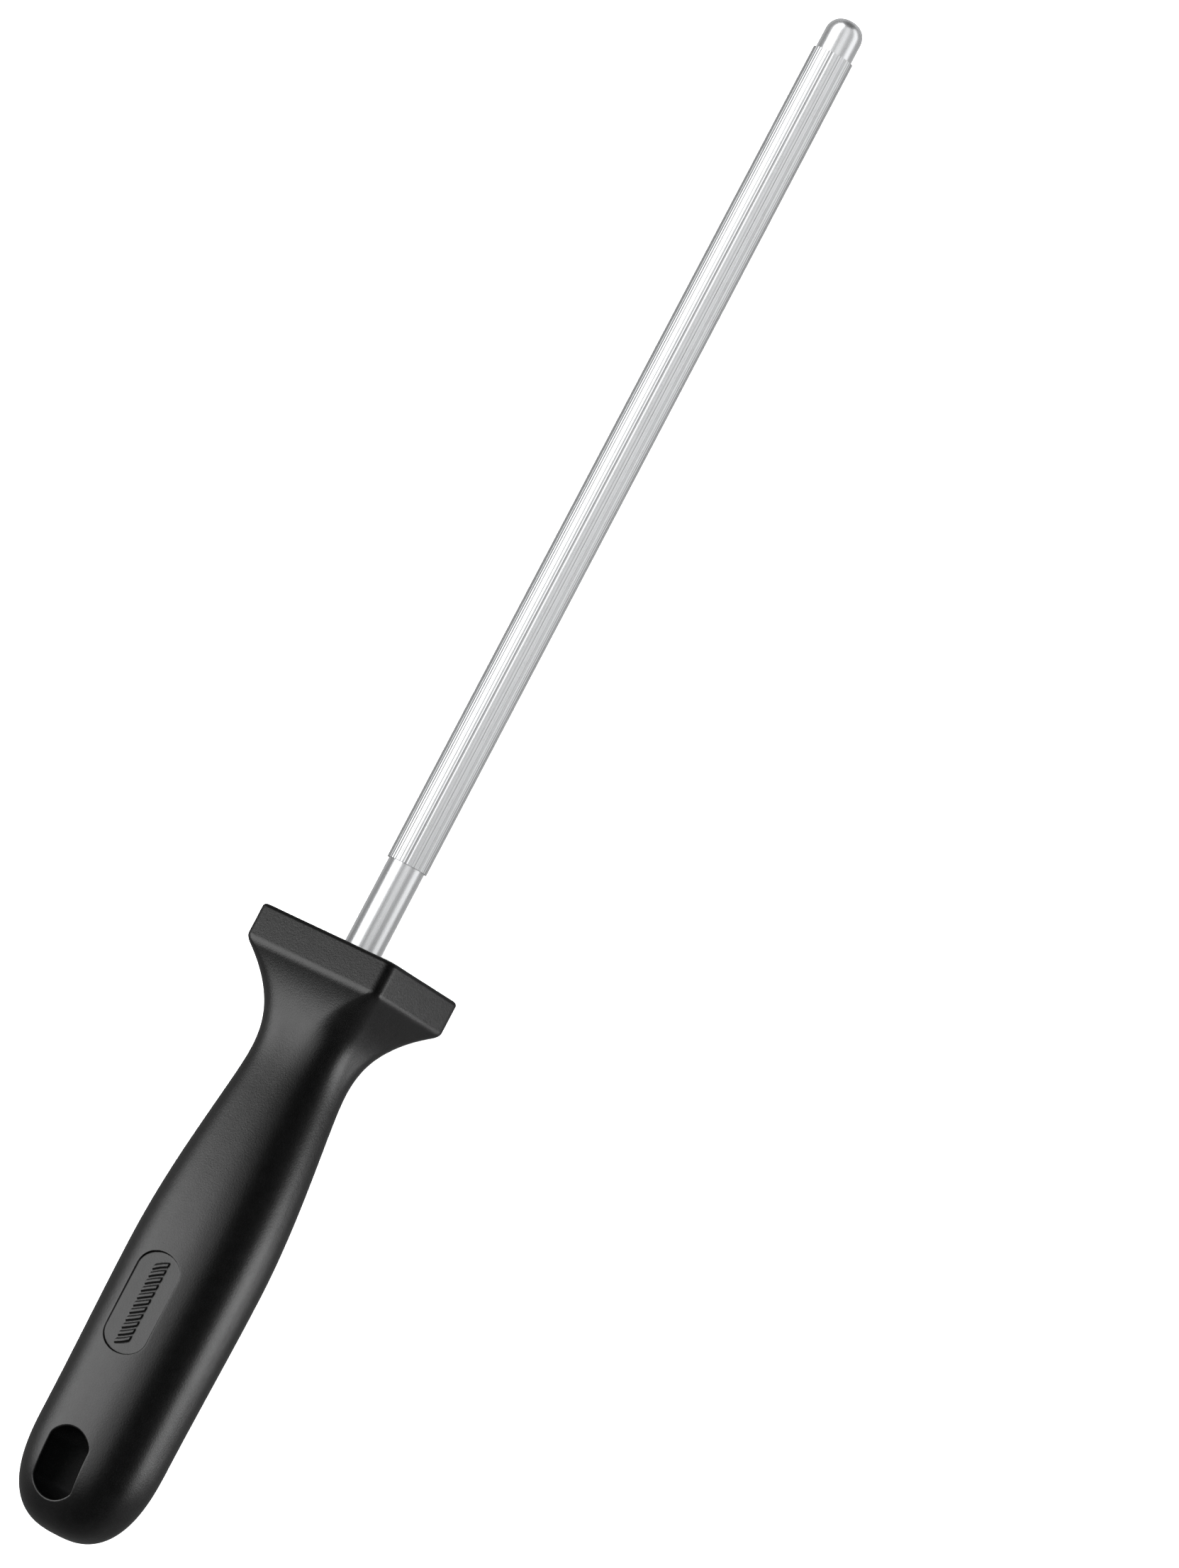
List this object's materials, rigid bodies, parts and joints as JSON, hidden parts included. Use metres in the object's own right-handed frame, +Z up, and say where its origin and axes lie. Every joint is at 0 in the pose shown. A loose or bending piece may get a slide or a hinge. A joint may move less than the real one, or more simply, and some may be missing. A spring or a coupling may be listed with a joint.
{
  "type": "knife sharpening steel",
  "caption": "Round ribbed sharpening steel with a domed tip and a black moulded handle, with a square guard, a swelling grip and a hanging slot.",
  "frame": {"origin": "on the surface that the guard lies on, under the middle of the whole length", "axes": "+X along the rod towards its tip, +Z up out of the wide face of the guard and grip, +Y across the width"},
  "size_m": [0.4064, 0.0424, 0.0328],
  "materials": {
    "chromed_steel": "polished neck and tip, fine lengthwise ribs between them",
    "core_plastic": "plain moulded plastic",
    "black_plastic": "satin with a fine moulded grain"
  },
  "bodies": {
    "root": {"steel_rod": "chromed_steel", "handle_core": "core_plastic", "handle": "black_plastic"}
  },
  "joints": []
}
